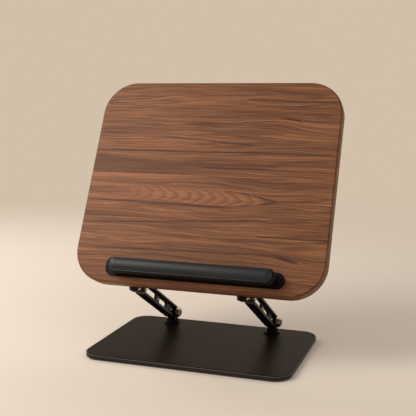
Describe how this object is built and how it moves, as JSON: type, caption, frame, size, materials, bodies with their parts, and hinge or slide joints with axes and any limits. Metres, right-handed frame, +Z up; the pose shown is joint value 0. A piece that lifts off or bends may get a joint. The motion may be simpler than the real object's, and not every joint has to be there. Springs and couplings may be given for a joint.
{
  "type": "book stand",
  "caption": "Adjustable desk book stand: a rounded wooden board with a padded ledge, carried by two hinged arms on a flat metal base.",
  "frame": {"origin": "on the table under the middle of the base plate", "axes": "+X to the reader's right along both hinge lines, +Y to the back, +Z up"},
  "size_m": [0.34, 0.188, 0.3531],
  "materials": {
    "walnut": "satin",
    "black_steel": "matte powder coat",
    "black_moulding": "matte",
    "pad_rubber": "satin",
    "foot_rubber": "matte",
    "bright_steel": "nickel plated",
    "dark_screws": "black oxide",
    "bronze": "satin"
  },
  "bodies": {
    "base": {"base_plate": "black_steel", "front_left_foot": "foot_rubber", "rear_left_foot": "foot_rubber", "front_right_foot": "foot_rubber", "rear_right_foot": "foot_rubber", "left_base_bracket": "black_steel", "right_base_bracket": "black_steel", "base_bracket_screws": "dark_screws", "lower_hinge_bolts": "bright_steel", "lower_hinge_washers": "bright_steel", "lower_hinge_nuts": "bright_steel"},
    "arm_left": {"left_arm": "black_steel", "left_arm_stiffener": "black_steel", "left_arm_rivets": "bright_steel"},
    "arm_right": {"right_arm": "black_steel", "right_arm_stiffener": "black_steel", "right_arm_rivets": "bright_steel"},
    "board": {"board": "walnut", "left_board_bracket": "black_steel", "right_board_bracket": "black_steel", "board_bracket_screws": "dark_screws", "upper_hinge_pins": "bright_steel", "upper_hinge_spacers": "bright_steel", "upper_hinge_bushes": "bronze", "upper_hinge_clips": "bright_steel", "ledge_body": "black_moulding", "ledge_pad": "pad_rubber", "ledge_screws": "dark_screws"}
  },
  "joints": [
    {"name": "arm_hinge", "type": "hinge", "parent": "base", "child": "arm_left", "pos_m": [-0.075, 0.071, 0.0234], "axis": [-1, 0, 0], "range_deg": [-20, 60]},
    {"name": "right_arm_hinge", "type": "hinge", "parent": "base", "child": "arm_right", "pos_m": [0.075, 0.071, 0.0234], "axis": [-1, 0, 0], "range_deg": [-20, 60]},
    {"name": "board_hinge", "type": "hinge", "parent": "arm_left", "child": "board", "pos_m": [-0.075, -0.03012, 0.08225], "axis": [1, 0, 0], "range_deg": [-80, 20]}
  ],
  "couplings": [
    {"joint": "right_arm_hinge", "follows": "arm_hinge", "ratio": 1}
  ]
}
